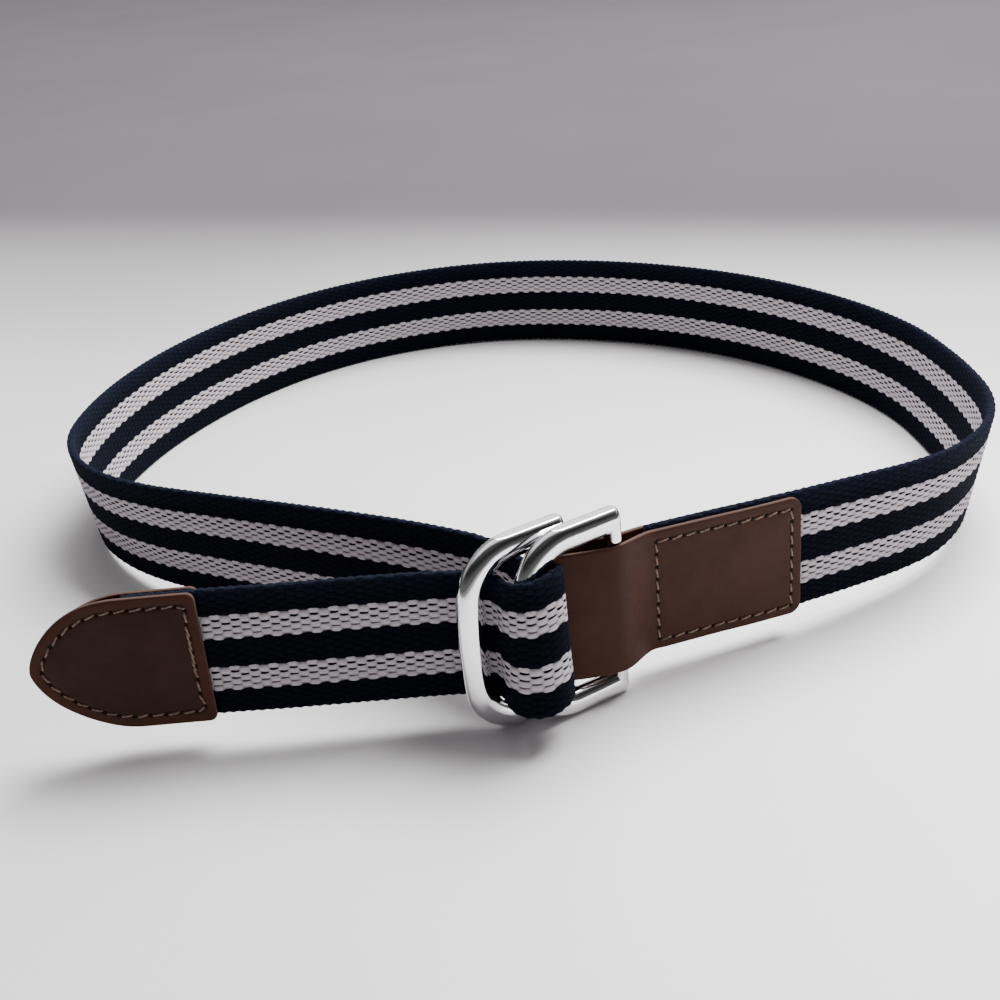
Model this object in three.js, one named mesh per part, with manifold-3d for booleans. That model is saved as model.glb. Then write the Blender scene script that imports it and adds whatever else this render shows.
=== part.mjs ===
import * as THREE from 'three';
import { mergeVertices } from 'three/addons/utils/BufferGeometryUtils.js';
import Module from 'manifold-3d';

// A striped canvas belt that lies closed on a surface, standing on its edge. Millimetres, +Z up, front at -Y.
// The strap starts inside a leather tab, runs round the waist, passes through two D-rings, folds back over
// the rear ring's bar and under the front ring's bar, and ends in a pointed leather tip.

const wasm = await Module();
wasm.setup();

// Strap
const STRAP_WIDTH = 35;
const STRAP_THICKNESS = 2.4;
const SELVEDGE = 0.6;          // chamfer along the strap's edges
const STRAP_START = 2.5;       // its cut end, from the start of the route
const BUCKLE_LIFT = 8.5;       // the rings hold the strap's front this far off the surface

// Leather
const LEATHER = 1.2;
const LEATHER_BEVEL = 0.2;     // chamfer along its cut edges
const GAP = 0.4;               // clearance between pieces that lie against each other
const TAB_WIDTH = 34.6;
const TAB_END = 43.5;          // stitched length of the tab, measured along the strap
const TAB_CORNER = 3.5;        // radius of its two corners at each stitched end
const TIP_LENGTH = 43.5;
const TIP_WIDTH = 37.6;
const TIP_SHOULDER = 24;       // length of the tip's pointed part
const TIP_BITE = 18;           // the tip's plies reach this far back along the strap
const TIP_CORNER = 1.5;

// D-rings
const RING_HEIGHT = 53;
const RING_LENGTH = 31;
const BAR_WIDE = 6.2;          // section of the curved bar and arms, in the ring's plane
const BAR_DEEP = 5.2;          // and across it
const CORNER = 11.7;           // centre line radius of the rounded corners
const PIN = 4.6;               // diameter of the straight bar that the leather holds
const PIN_PLAY = 0.5;          // clearance round it
const FOOT = 2.2;                // the arm's end turns this far down before the straight bar starts
const RING_TURN = THREE.MathUtils.degToRad(29.6);
const FRONT_PIN = [6.55, -125.4];   // places of the straight bars in plan
const BACK_PIN = [20.05, -124.1];
const RING_SIDES = 12;         // a multiple of four, so that the ring stands on a flat
const CORNER_STEPS = 10;

// Centre line of the strap in plan, with the height of its lower edge, from the tab to the tip.
const STRAP_ROUTE = [
  // x, y, lift
  [29.3, -116.9, 8.5],
  [43.8, -112.2, 8.4],
  [58.3, -107.6, 8.1],
  [74.8, -101.5, 7.4],
  [90.8, -94.6, 6.2],
  [104.8, -87.9, 4.9],
  [117.7, -79.4, 3.8],
  [128.3, -68.4, 2.9],
  [136.5, -55.4, 2.1],
  [141.7, -39.4, 1.3],
  [143.7, -20.4, 0.5],
  [143.4, -0.4, 0],
  [140.1, 22.6, 0],
  [131.1, 47.1, 0],
  [115.3, 73.6, 0],
  [95.8, 96.1, 0],
  [73.3, 114.4, 0],
  [48.8, 128.6, 0],
  [23.3, 138.2, 0],
  [-3.2, 142.9, 0],
  [-29.7, 141.5, 0],
  [-55.7, 134.3, 0],
  [-80.7, 120.6, 0],
  [-104.2, 99.4, 0],
  [-123.3, 72.6, 0],
  [-136.2, 45.1, 0],
  [-143.2, 18.6, 0],
  [-143.2, -1.9, 0.3],
  [-136.7, -19.9, 1.0],
  [-124.2, -37.4, 2.2],
  [-107.7, -52.4, 3.6],
  [-90.2, -64.2, 4.9],
  [-75.2, -73.3, 5.8],
  [-60.7, -81.9, 6.6],
  [-46.2, -90.6, 7.3],
  [-32.7, -98.9, 7.9],
  [-20.7, -106.7, 8.3],
  [-11.5, -113.4, 8.5],
  [-5.3, -120.3, 8.5],
  [-1.3, -126.8, 8.5],
  [3.3, -131.4, 8.5],
  [7.0, -134.6, 8.5],
  [8.7, -137.8, 8.5],
  [7.7, -141.0, 8.5],
  [4.4, -142.8, 8.5],
  [0.1, -142.9, 8.5],
  [-3.9, -141.6, 8.5],
  [-6.5, -138.4, 8.5],
  [-8.3, -134.4, 8.5],
  [-13.3, -131.3, 8.5],
  [-19.7, -130.0, 8.5],
  [-39.2, -129.2, 8.5],
  [-61.5, -128.8, 8.5],
  [-79.5, -128.5, 8.5],
  [-98.1, -128.3, 8.5],
];
const STEPS_PER_ROW = 4;

// From the centre of a straight bar, and from the strap's centre line, to the middle of the leather
const PIN_REACH = PIN / 2 + PIN_PLAY + LEATHER / 2;
const PLY_OFFSET = STRAP_THICKNESS / 2 + GAP + LEATHER / 2;

const MATERIALS = {
  webbing: { color: 0x1c2236, roughness: 0.95, metalness: 0 },
  leather: { color: 0x4a3026, roughness: 0.5, metalness: 0 },
  chrome: { color: 0xd8dadc, roughness: 0.12, metalness: 1 },
};

const smoothCurve = (points) => new THREE.CatmullRomCurve3(points, false, 'centripetal');

// Points of a curve through the given rows, with the same number of steps between each two of them.
function routePoints(rows, stepsPerRow) {
  const curve = smoothCurve(rows.map(([x, y, z]) => new THREE.Vector3(x, y, z)));
  return curve.getPoints((rows.length - 1) * stepsPerRow).map((p) => p.setZ(Math.max(0, p.z)));
}

// Level directions across a route, pointing to the left of its travel.
function sideways(points) {
  return points.map((point, i) => {
    const before = points[Math.max(0, i - 1)];
    const after = points[Math.min(points.length - 1, i + 1)];
    return new THREE.Vector3(before.y - after.y, after.x - before.x, 0).normalize();
  });
}

function offsetPoints(points, distance) {
  const across = sideways(points);
  return points.map((point, i) => point.clone().addScaledVector(across[i], distance));
}

// Distance travelled at each point of a route.
function travelled(points) {
  const lengths = [0];
  for (let i = 1; i < points.length; i += 1) {
    lengths.push(lengths[i - 1] + points[i].distanceTo(points[i - 1]));
  }
  return lengths;
}

// The part of a route between two distances, cut exactly at both.
function stretch(points, from, to) {
  const lengths = travelled(points);
  const at = (distance) => {
    const i = Math.max(1, lengths.findIndex((length) => length >= distance));
    const share = (distance - lengths[i - 1]) / (lengths[i] - lengths[i - 1]);
    return points[i - 1].clone().lerp(points[i], share);
  };
  const inner = points.filter((point, i) => lengths[i] > from + 0.2 && lengths[i] < to - 0.2);
  return [at(from), ...inner, at(to)];
}

// A closed body of rings that all have the same number of points, capped at both ends.
function loft(rings) {
  const size = rings[0].length;
  const positions = rings.flat().flatMap((p) => [p.x, p.y, p.z]);
  const faces = [];
  for (let i = 0; i + 1 < rings.length; i += 1) {
    for (let j = 0; j < size; j += 1) {
      const a = i * size + j;
      const b = i * size + ((j + 1) % size);
      faces.push(a, b, b + size, a, b + size, a + size);
    }
  }
  const last = (rings.length - 1) * size;
  for (let j = 1; j + 1 < size; j += 1) {
    faces.push(0, j + 1, j);
    faces.push(last, last + j, last + j + 1);
  }
  const geometry = new THREE.BufferGeometry();
  geometry.setAttribute('position', new THREE.Float32BufferAttribute(positions, 3));
  geometry.setIndex(faces);
  return geometry;
}

// A strip that stands on its edge along a route, with chamfered edges. The lower and upper edge may
// differ from point to point, which rounds a corner or draws a point.
function strip(points, thickness, chamfer, lower, upper) {
  const across = sideways(points);
  const half = thickness / 2;
  const lengths = travelled(points);
  const rings = points.map((point, i) => {
    const bottom = point.z + lower(lengths[i]);
    const top = point.z + upper(lengths[i]);
    const bevel = Math.min(chamfer, (top - bottom) / 4);
    const section = [
      [half, bottom + bevel],
      [half, top - bevel],
      [half - chamfer, top],
      [chamfer - half, top],
      [-half, top - bevel],
      [-half, bottom + bevel],
      [chamfer - half, bottom],
      [half - chamfer, bottom],
    ];
    return section.map(([side, z]) => point.clone().addScaledVector(across[i], side).setZ(z));
  });
  return loft(rings);
}

// Webbing
const strapPoints = routePoints(STRAP_ROUTE, STEPS_PER_ROW);
const strapLength = travelled(strapPoints).at(-1);
const webbing = strip(
  stretch(strapPoints, STRAP_START, strapLength),
  STRAP_THICKNESS,
  SELVEDGE,
  () => 0,
  () => STRAP_WIDTH,
);

// How far a rounded corner cuts an edge back, at a distance from the end that the corner belongs to.
function cornerCut(distance, radius) {
  const into = Math.max(0, radius - distance);
  return radius - Math.sqrt(radius * radius - into * into);
}

// Leather tab: its front ply runs past both straight bars, round the front ring's one and back behind them
function pinPoint(pin, angle, reach) {
  const turn = THREE.MathUtils.degToRad(angle);
  return new THREE.Vector3(pin[0] + reach * Math.cos(turn), pin[1] + reach * Math.sin(turn), BUCKLE_LIFT);
}

const stitched = stretch(strapPoints, 0, TAB_END);
const frontPly = offsetPoints(stitched, -PLY_OFFSET).reverse();
const backPly = offsetPoints(stitched, PLY_OFFSET);
const loopPoints = [
  pinPoint(BACK_PIN, -40, PIN_REACH),
  pinPoint(BACK_PIN, -90, PIN_REACH),
  pinPoint(FRONT_PIN, -90, PIN_REACH),
  pinPoint(FRONT_PIN, -135, PIN_REACH),
  pinPoint(FRONT_PIN, 180, PIN_REACH),
  pinPoint(FRONT_PIN, 135, PIN_REACH),
  pinPoint(FRONT_PIN, 90, PIN_REACH),
  pinPoint(BACK_PIN, 90, PIN_REACH),
];
const tabRows = [...frontPly, ...loopPoints, ...backPly];
const tabPoints = smoothCurve(tabRows).getPoints((tabRows.length - 1) * 2);
const tabLength = travelled(tabPoints).at(-1);
const tabMargin = (STRAP_WIDTH - TAB_WIDTH) / 2;
const tabCut = (s) => cornerCut(Math.min(s, tabLength - s), TAB_CORNER);
const tab = strip(
  tabPoints,
  LEATHER,
  LEATHER_BEVEL,
  (s) => tabMargin + tabCut(s),
  (s) => STRAP_WIDTH - tabMargin - tabCut(s),
);

// Pointed tip: two plies that meet just past the strap's end. The shares are of the way on to the point.
const TIP_SHARES = [0.35, 0.6, 0.8, 0.92, 0.98];
const tipStart = strapPoints.at(-1);
const tipHeading = strapPoints.at(-1).clone().sub(strapPoints.at(-2)).setZ(0).normalize();

function tipHalfWidth(fromPoint) {
  const share = Math.min(1, fromPoint / TIP_SHOULDER);
  return (TIP_WIDTH / 2) * Math.pow(1 - Math.pow(1 - share, 2.1), 0.72);
}

function tipPly(side) {
  const along = stretch(strapPoints, strapLength - TIP_BITE, strapLength);
  const ply = offsetPoints(along, side * PLY_OFFSET);
  const met = side * (LEATHER / 2 + GAP / 2);
  const beyond = TIP_LENGTH - TIP_BITE;
  const outward = sideways(strapPoints).at(-1);
  for (const share of TIP_SHARES) {
    const narrowing = THREE.MathUtils.smoothstep(share, 0, 0.6);
    const offset = THREE.MathUtils.lerp(side * PLY_OFFSET, met, narrowing);
    ply.push(tipStart.clone().addScaledVector(tipHeading, beyond * share).addScaledVector(outward, offset));
  }
  const middle = STRAP_WIDTH / 2;
  const length = travelled(ply).at(-1) + beyond * (1 - TIP_SHARES.at(-1));
  const halfWidth = (s) => tipHalfWidth(length - s) - cornerCut(s, TIP_CORNER);
  return strip(ply, LEATHER, LEATHER_BEVEL, (s) => middle - halfWidth(s), (s) => middle + halfWidth(s));
}

// A closed mesh as a solid that can be joined, and back again
function solid(geometry) {
  const bare = geometry.clone();
  bare.deleteAttribute('normal');
  bare.deleteAttribute('uv');
  const merged = mergeVertices(bare);
  const vertProperties = new Float32Array(merged.attributes.position.array);
  const triVerts = new Uint32Array(merged.index.array);
  return new wasm.Manifold(new wasm.Mesh({ numProp: 3, vertProperties, triVerts }));
}

function geometryOf(body) {
  const mesh = body.getMesh();
  const geometry = new THREE.BufferGeometry();
  geometry.setAttribute('position', new THREE.Float32BufferAttribute(mesh.vertProperties, 3));
  geometry.setIndex([...mesh.triVerts]);
  return geometry;
}

// D-ring in its own plane: the straight bar on the Z axis, the curved bar towards +X, centred on z = 0
function ringGeometry() {
  const rise = RING_HEIGHT / 2 - BAR_WIDE / 2;
  const reach = RING_LENGTH - BAR_WIDE;
  const flatShare = Math.cos(Math.PI / RING_SIDES);
  const centre = [new THREE.Vector3(-BAR_DEEP / 2, 0, rise)];
  for (let i = 0; i <= CORNER_STEPS; i += 1) {
    const turn = (Math.PI / 2) * (1 - i / CORNER_STEPS);
    const x = reach - CORNER * (1 - Math.cos(turn));
    const z = rise - CORNER * (1 - Math.sin(turn));
    centre.push(new THREE.Vector3(x, 0, z));
  }
  const lower = centre.map((p) => new THREE.Vector3(p.x, 0, -p.z)).reverse();
  const path = [...centre, ...lower];
  const rings = path.map((point, i) => {
    const before = path[Math.max(0, i - 1)];
    const after = path[Math.min(path.length - 1, i + 1)];
    const forward = after.clone().sub(before).normalize();
    const outward = new THREE.Vector3(-forward.z, 0, forward.x);
    const ring = [];
    for (let j = 0; j < RING_SIDES; j += 1) {
      const angle = (2 * Math.PI * (j + 0.5)) / RING_SIDES;
      const offset = outward.clone().multiplyScalar((BAR_WIDE / 2 / flatShare) * Math.cos(angle));
      ring.push(point.clone().add(offset).setY((-BAR_DEEP / 2 / flatShare) * Math.sin(angle)));
    }
    return ring;
  });
  let body = solid(loft(rings));
  const pin = new THREE.CylinderGeometry(PIN / 2, PIN / 2, 2 * rise, RING_SIDES).rotateX(Math.PI / 2);
  body = body.add(solid(pin));
  for (const end of [1, -1]) {
    const foot = new THREE.CylinderGeometry(BAR_DEEP / 2, BAR_DEEP / 2, BAR_WIDE / 2 + FOOT, RING_SIDES);
    foot.rotateX(Math.PI / 2).translate(0, 0, end * (rise - (BAR_WIDE / 2 + FOOT) / 2));
    body = body.add(solid(foot));
  }
  return geometryOf(body);
}

// Assembly
const belt = new THREE.Group();

function addPiece(name, geometry, material) {
  geometry.computeVertexNormals();
  const mesh = new THREE.Mesh(geometry, new THREE.MeshStandardMaterial(MATERIALS[material]));
  mesh.name = name;
  belt.add(mesh);
  return mesh;
}

function addRing(name, pinPlace) {
  const ring = addPiece(name, ringGeometry(), 'chrome');
  ring.rotation.z = Math.PI + RING_TURN;
  ring.position.set(pinPlace[0], pinPlace[1], RING_HEIGHT / 2);
}

addPiece('webbing', webbing, 'webbing');
addPiece('tab_leather', tab, 'leather');
addRing('ring_front', FRONT_PIN);
addRing('ring_back', BACK_PIN);
addPiece('tip_front', tipPly(1), 'leather');
addPiece('tip_back', tipPly(-1), 'leather');

export default belt;
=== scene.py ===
"""Striped canvas belt, closed and standing on its edge, with a leather tab, two D-rings and a leather tip.

The scene is in metres. The builders work in millimetres along the strap (run), up from its lower edge (rise)
and out to the left of its travel (out).
"""

import math
from functools import partial

import bpy
import numpy as np
from bpy.props import FloatProperty, FloatVectorProperty, IntProperty, PointerProperty
from mathutils import Matrix, Vector


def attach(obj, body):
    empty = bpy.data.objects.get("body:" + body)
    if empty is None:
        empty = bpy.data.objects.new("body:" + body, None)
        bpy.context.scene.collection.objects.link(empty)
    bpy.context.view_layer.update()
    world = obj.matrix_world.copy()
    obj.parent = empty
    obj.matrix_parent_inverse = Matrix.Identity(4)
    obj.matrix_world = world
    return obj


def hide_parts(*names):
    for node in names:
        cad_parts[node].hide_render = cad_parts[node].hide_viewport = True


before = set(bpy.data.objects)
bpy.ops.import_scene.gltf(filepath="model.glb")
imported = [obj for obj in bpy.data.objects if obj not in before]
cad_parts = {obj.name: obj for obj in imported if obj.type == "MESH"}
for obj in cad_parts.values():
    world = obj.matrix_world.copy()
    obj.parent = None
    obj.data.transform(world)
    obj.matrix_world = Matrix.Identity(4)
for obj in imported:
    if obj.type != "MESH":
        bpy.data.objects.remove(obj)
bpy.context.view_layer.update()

bl_info = {
    "name": "Canvas belt with D-rings",
    "version": (1, 0, 0),
    "blender": (4, 5, 0),
    "location": "3D View > Sidebar > Belt",
    "description": "Builds a striped canvas belt with a leather tab, two D-rings and a leather tip",
    "category": "Mesh",
}

MM = 0.001


def linear(code):
    """A colour code such as 2b3050 as linear red, green, blue and full alpha."""
    channels = [int(code[i : i + 2], 16) / 255 for i in (0, 2, 4)]
    return tuple(c / 12.92 if c <= 0.04045 else ((c + 0.055) / 1.055) ** 2.4 for c in channels) + (1.0,)


# Sizes and colours


class BeltWebbing(bpy.types.PropertyGroup):
    thickness: FloatProperty(name="Thickness", description="Over the yarns", default=0.0025, unit="LENGTH")
    relief: FloatProperty(
        name="Relief", description="From a yarn's top to a gap", default=0.00045, unit="LENGTH"
    )
    navy: FloatVectorProperty(
        name="Navy", description="Dark yarns", subtype="COLOR", size=4, default=linear("07080d")
    )
    # Also the painted highlight on the navy towards the strap's top edge.
    lint: FloatVectorProperty(
        name="Lint", description="Loose fibres on the dark yarns", subtype="COLOR", size=4,
        default=linear("272d44"),
    )
    white: FloatVectorProperty(
        name="White", description="Pale yarns", subtype="COLOR", size=4, default=linear("c4bdc4")
    )
    # The gap colour is also the painted shade in the gaps between pale yarns.
    gap: FloatVectorProperty(
        name="Gap", description="Weft seen between pale yarns", subtype="COLOR", size=4,
        default=linear("0f0c0f"),
    )


class BeltLeather(bpy.types.PropertyGroup):
    thickness: FloatProperty(name="Thickness", description="Of one ply", default=0.0012, unit="LENGTH")
    edge: FloatProperty(name="Edge", description="Rounding of the cut edge", default=0.0003, unit="LENGTH")
    brown: FloatVectorProperty(
        name="Brown", description="Grain side", subtype="COLOR", size=4, default=linear("3b2013")
    )
    deep: FloatVectorProperty(
        name="Deep brown", description="Mottling of the grain side", subtype="COLOR", size=4,
        default=linear("351b10"),
    )
    raw: FloatVectorProperty(
        name="Raw edge", description="Cut edge", subtype="COLOR", size=4, default=linear("503e38")
    )


class BeltSeams(bpy.types.PropertyGroup):
    pitch: FloatProperty(name="Stitch", description="From hole to hole", default=0.0038, unit="LENGTH")
    thread: FloatProperty(name="Thread", description="Diameter", default=0.00056, unit="LENGTH")
    seed: IntProperty(name="Seed", description="Order of the small differences between stitches", default=4)
    tan: FloatVectorProperty(
        name="Tan", description="Thread", subtype="COLOR", size=4, default=linear("876a56")
    )


class BeltRings(bpy.types.PropertyGroup):
    height: FloatProperty(name="Height", description="Outside, on the flats", default=0.053, unit="LENGTH")
    bar_wide: FloatProperty(
        name="Bar width", description="In the ring's plane", default=0.0070, unit="LENGTH"
    )
    bar_deep: FloatProperty(name="Bar depth", description="Across the plane", default=0.0054, unit="LENGTH")
    ground: FloatProperty(name="Ground flat", description="Taken off the arms", default=0.0004, unit="LENGTH")
    corner: FloatProperty(name="Corner", description="Centre line radius", default=0.0117, unit="LENGTH")
    foot: FloatProperty(name="Foot", description="Lug below the arm", default=0.0022, unit="LENGTH")
    pin: FloatProperty(name="Pin", description="Straight bar's diameter", default=0.0026, unit="LENGTH")
    chrome: FloatVectorProperty(
        name="Chrome", description="Polished plating", subtype="COLOR", size=4, default=linear("e9e8ea")
    )


class BeltStage(bpy.types.PropertyGroup):
    floor: FloatVectorProperty(
        name="Floor", description="Pale matt floor", subtype="COLOR", size=4, default=linear("d6d4d6")
    )
    # Painted shade: the far tone stands for a dim wall in shade past the soft horizon.
    far: FloatVectorProperty(
        name="Far floor", description="Tone past the soft horizon", subtype="COLOR", size=4,
        default=linear("58555a"),
    )
    window: FloatProperty(name="Window light", description="Soft light above", default=66.0, unit="POWER")
    fill: FloatProperty(name="Room light", description="Soft light from all round", default=1.0)


# The strap's route and the leather's

# Lengths are in millimetres. A pick is a weft thread's room along the strap and an end a warp yarn's room
# across it. CROWN is the power of the selvedges' round section, and PACKING how much closer their yarns lie.
STRAP_WIDTH = 35.0
STRAP_START = 0.4
BUCKLE_LIFT = 8.5
PICK = 2.4
ENDS = 38
END = STRAP_WIDTH / ENDS
WHITE_ENDS = (8, 15, 23, 30)
STRIPE_MIDDLE = ENDS / 2 - sum(WHITE_ENDS[:2]) / 2
PACKING = 0.95
SCALLOP = 0.34
SELVEDGE = 1.5
CROWN = 2.6
ROUTE_STEPS = 32
PLY_STEPS = 12
LEATHER = 1.2
PLY_OFFSET = 2.2
TAB_WIDTH = 34.6
TAB_END = 43.5
TAB_CORNER = 3.5
TAB_SEAM_RUNS = (3.0, 41.6)
TAB_SEAM_RISES = (2.9, STRAP_WIDTH - 3.3)
TAB_LINES = 56
TAB_STEP = 0.6
TAB_LOOP_RISE = 0.4
TAB_FRONT_DROP = 0.5
TAB_BACK_DROP = 1.2
TIP_LENGTH = 44.0
TIP_WIDTH = 35.7
TIP_SHOULDER = 26.0
TIP_DROOP = 1.2
TIP_BITE = 18.0
TIP_CORNER = 2.0
TIP_CLOSED = LEATHER / 2 + 0.2
TIP_BACK_DROP = 0.9
TIP_MIDDLE = (15, 21)
SEAM_INSET = 3.1
SEAM_DEPTH = 0.13
HOLE_DEPTH = 0.12
SWELL_DEPTH = 0.014
RING_TURN = math.radians(29.6)
RING_REACH = 24.9
PINS = {"ring_front": (6.55, -125.4), "ring_back": (20.05, -124.1)}
PIN_REACH = 3.4
TAB_TURNS = [
    # ring, angle round its pin in degrees, lean
    ("ring_back", -40, -2.0),
    ("ring_back", -90, -2.4),
    ("ring_front", -90, -2.4),
    ("ring_front", -135, -1.6),
    ("ring_front", 180, 0),
    ("ring_front", 135, 0),
    ("ring_front", 90, 0),
    ("ring_back", 90, 0),
]

# From the tab to the tip: the strap's centre line in plan, the height of its lower edge, and how far its top
# edge stands to the left of its lower edge and ahead of it. The loop opens a little upwards, and its ends
# lean back.
STRAP_ROUTE = [
    # x, y, lift, lean, slip
    (29.3, -116.9, 8.5, 0),
    (43.8, -112.2, 8.1, 0),
    (58.3, -107.6, 7.6, 0),
    (74.8, -101.5, 6.9, -0.6),
    (90.8, -94.6, 5.9, -1.6),
    (104.8, -87.9, 4.9, -2.8),
    (117.7, -79.4, 3.8, -4.0),
    (128.3, -68.4, 2.9, -5.0),
    (136.5, -55.4, 2.1, -6.0),
    (141.7, -39.4, 1.3, -6.8),
    (143.7, -20.4, 0.5, -7.0),
    (143.4, -0.4, 0, -6.6),
    (140.1, 22.6, 0, -5.6),
    (131.1, 47.1, 0, -4.4),
    (115.3, 73.6, 0, -3.2),
    (95.8, 96.1, 0, -2.4),
    (73.3, 114.4, 0, -2.0),
    (48.8, 128.6, 0, -1.8),
    (23.3, 138.2, 0, -1.8),
    (-3.2, 142.9, 0, -1.8),
    (-29.7, 141.5, 0, -2.0),
    (-55.7, 134.3, 0, -2.4),
    (-80.7, 120.6, 0, -3.0),
    (-104.2, 99.4, 0, -3.8),
    (-123.3, 72.6, 0, -4.4),
    (-135.6, 45.1, 0, -4.0),
    (-141.6, 18.6, 0, -3.7),
    (-141.7, -1.9, 0.3, -3.6),
    (-135.7, -19.9, 1.0, -3.6),
    (-123.8, -37.4, 2.2, -3.6),
    (-107.7, -52.4, 3.6, -2.6),
    (-90.2, -64.2, 4.9, -1.8),
    (-75.2, -73.3, 5.8, -1.2),
    (-60.7, -81.9, 6.6, -0.8),
    (-46.2, -90.6, 7.3, -0.4),
    (-32.7, -98.9, 7.9, 0),
    (-20.7, -106.7, 8.3, 0),
    (-11.5, -113.4, 8.5, 0),
    (-5.3, -120.3, 8.5, 0),
    (-1.3, -126.8, 8.5, 0),
    (2.8, -131.2, 9.2, 0.6, -1.2),
    (5.8, -134.0, 10.0, 0.8, -3.8),
    (7.0, -137.0, 10.4, -0.6, -5.8),
    (5.8, -140.1, 11.1, -4.2, -4.6),
    (3.0, -142.3, 10.6, -6.2, -2.0),
    (-0.3, -143.0, 10.0, -6.0, 0.4),
    (-3.9, -141.8, 9.5, -4.4, 0.8),
    (-6.6, -138.4, 8.9, -1.6),
    (-8.3, -134.4, 8.8, -0.4),
    (-13.3, -131.3, 8.6, -0.6),
    (-19.7, -130.0, 8.5, -1.2),
    (-39.2, -129.0, 8.5, -2.0),
    (-61.5, -128.4, 8.5, -2.2),
    (-79.5, -128.0, 8.8, -2.2),
    (-98.1, -127.8, 8.9, -2.2),
]


def smooth_line(rows, steps):
    """Points of the smooth curve through rows, with the same number of steps between each two."""
    rows = np.asarray(rows, float)
    reached = np.vstack([2 * rows[0] - rows[1], rows, 2 * rows[-1] - rows[-2]])
    t = (np.arange(steps) / steps)[:, None]
    parts = []
    for a, b, c, d in zip(reached, reached[1:], reached[2:], reached[3:]):
        before, here, after = (np.linalg.norm((q - p)[:3]) ** 0.5 for p, q in ((a, b), (b, c), (c, d)))
        leave = ((b - a) / before - (c - a) / (before + here) + (c - b) / here) * here
        arrive = ((c - b) / here - (d - b) / (here + after) + (d - c) / after) * here
        bend = 3 * (c - b) - 2 * leave - arrive
        parts.append(b + leave * t + bend * t**2 + (2 * (b - c) + leave + arrive) * t**3)
    return np.vstack([*parts, rows[-1:]])


class Ribbon:
    """A strip that stands on its edge along a route. Its places are run, rise and out, in millimetres."""

    def __init__(self, points):
        self.points = points
        self.points[:, 2] = np.maximum(self.points[:, 2], 0)
        steps = np.linalg.norm(np.diff(points[:, :3], axis=0), axis=1)
        self.runs = np.concatenate([[0.0], np.cumsum(steps)])
        self.length = self.runs[-1]

    def middle(self, run):
        """Route point at a run: x, y, lift, lean and slip."""
        return np.stack([np.interp(run, self.runs, self.points[:, k]) for k in range(5)], axis=-1)

    def left(self, run):
        ahead = self.middle(np.minimum(run + 0.5, self.length)) - self.middle(np.maximum(run - 0.5, 0))
        level = np.stack([-ahead[..., 1], ahead[..., 0], 0 * ahead[..., 0]], axis=-1)
        return level / np.linalg.norm(level, axis=-1, keepdims=True)

    def place(self, run, rise, out):
        """Places in the scene, in metres.

        The strip leans about its middle height, and its lower edge keeps its lift.
        """
        run, rise, out = (np.asarray(x, float) for x in (run, rise, out))
        route = self.middle(run)
        left = self.left(run)
        slope, slip = route[..., 3] / STRAP_WIDTH, route[..., 4] / STRAP_WIDTH
        upright = np.sqrt(1 - slope**2 - slip**2)
        from_middle = rise - STRAP_WIDTH / 2
        beside = out * np.sqrt(1 - slope**2) + from_middle * slope
        at = route[..., :3] + left * beside[..., None]
        at[..., 0] += left[..., 1] * from_middle * slip
        at[..., 1] -= left[..., 0] * from_middle * slip
        at[..., 2] = np.maximum(at[..., 2] + rise * upright - out * slope, 0)
        return at * MM


def strap_ribbon():
    return Ribbon(smooth_line([(*row, 0)[:5] for row in STRAP_ROUTE], ROUTE_STEPS))


def beside(strap, runs, out):
    """Points beside the strap's centre line."""
    runs = np.asarray(runs, float)
    rows = strap.middle(runs)
    rows[..., :3] += strap.left(runs) * out
    return rows


def tab_ribbon(strap):
    """The leather tab's own route: along the front of the strap, round the front ring's pin and back."""
    runs = np.linspace(0, TAB_END, 12)
    loop = []
    for ring, angle, lean in TAB_TURNS:
        x, y = PINS[ring]
        turn = math.radians(angle)
        x, y = x + PIN_REACH * math.cos(turn), y + PIN_REACH * math.sin(turn)
        loop.append((x, y, BUCKLE_LIFT + TAB_LOOP_RISE, lean, 0))
    front = beside(strap, runs, -PLY_OFFSET)[::-1]
    back = beside(strap, runs, PLY_OFFSET)
    front[:, 2] -= TAB_FRONT_DROP
    back[:, 2] -= TAB_BACK_DROP
    return Ribbon(smooth_line(np.vstack([front, loop, back]), PLY_STEPS))


def tip_ribbon(strap, side):
    """One ply of the tip: beside the strap's end, and then in to meet the other ply."""
    bite = beside(strap, np.linspace(strap.length - TIP_BITE, strap.length, 6), side * PLY_OFFSET)
    heading = strap.middle(strap.length) - strap.middle(strap.length - 2)
    heading = heading / np.linalg.norm(heading)
    outward = np.append(strap.left(np.array(strap.length)), (0, 0))
    beyond = TIP_LENGTH - TIP_BITE
    rows = list(bite)
    for share in (0.12, 0.25, 0.4, 0.6, 0.8, 1.0):
        ease = min(1.0, share / 0.6)
        ease = ease * ease * (3 - 2 * ease)
        offset = side * (PLY_OFFSET + (TIP_CLOSED - PLY_OFFSET) * ease)
        row = strap.middle(strap.length) + heading * beyond * share + outward * offset
        row[2] -= TIP_DROOP * share**1.5
        rows.append(row)
    rows = np.array(rows)
    rows[:, 2] += min(0.0, TIP_BACK_DROP * side)
    return Ribbon(smooth_line(rows, PLY_STEPS))


# Meshes


def make_mesh(name, points, faces, material, maps=None, marks=None):
    """A piece from points in metres and faces, with UV maps given per face corner and marks per point."""
    mesh = bpy.data.meshes.new(name)
    mesh.from_pydata([tuple(p) for p in points], [], [tuple(f) for f in faces])
    for label, corners in (maps or {}).items():
        layer = mesh.uv_layers.new(name=label)
        layer.data.foreach_set("uv", np.asarray(corners, np.float32).ravel())
    for label, values in (marks or {}).items():
        mark = mesh.attributes.new(label, "FLOAT", "POINT")
        mark.data.foreach_set("value", np.asarray(values, np.float32))
    mesh.polygons.foreach_set("use_smooth", np.ones(len(mesh.polygons), bool))
    mesh.materials.append(material)
    mesh.update()
    piece = bpy.data.objects.new(name, mesh)
    bpy.context.scene.collection.objects.link(piece)
    return piece


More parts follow.
